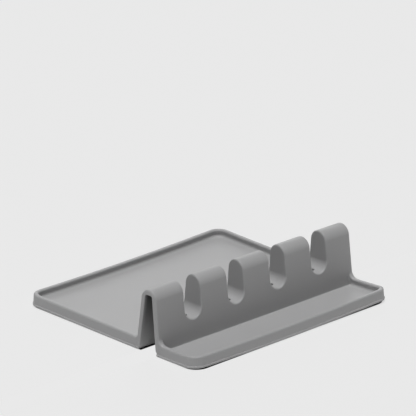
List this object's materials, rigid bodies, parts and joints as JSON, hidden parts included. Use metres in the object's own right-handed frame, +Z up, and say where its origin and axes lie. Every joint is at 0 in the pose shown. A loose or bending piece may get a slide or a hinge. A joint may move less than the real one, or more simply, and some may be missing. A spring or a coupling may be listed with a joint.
{
  "type": "spoon rest",
  "caption": "Soft silicone spoon rest: a shallow rimmed drip tray, a hollow slotted ridge that holds utensil handles, and a narrow rimmed front tray.",
  "frame": {"origin": "on the surface the rest stands on, under the middle of its length and depth", "axes": "+X along the slotted ridge, -Y towards the narrow front tray, +Z up"},
  "size_m": [0.2, 0.1906, 0.05],
  "materials": {
    "silicone": "matt moulded silicone, mid grey"
  },
  "bodies": {
    "root": {"drip_tray_floor": "silicone", "drip_tray_rim": "silicone", "front_tray_floor": "silicone", "front_tray_rim": "silicone", "ridge_back_wall": "silicone", "ridge_front_wall": "silicone", "slot_cradle_1": "silicone", "slot_cradle_2": "silicone", "slot_cradle_3": "silicone", "slot_cradle_4": "silicone", "ridge_post_1": "silicone", "ridge_post_2": "silicone", "ridge_post_3": "silicone", "ridge_post_4": "silicone", "ridge_post_5": "silicone"}
  },
  "joints": []
}
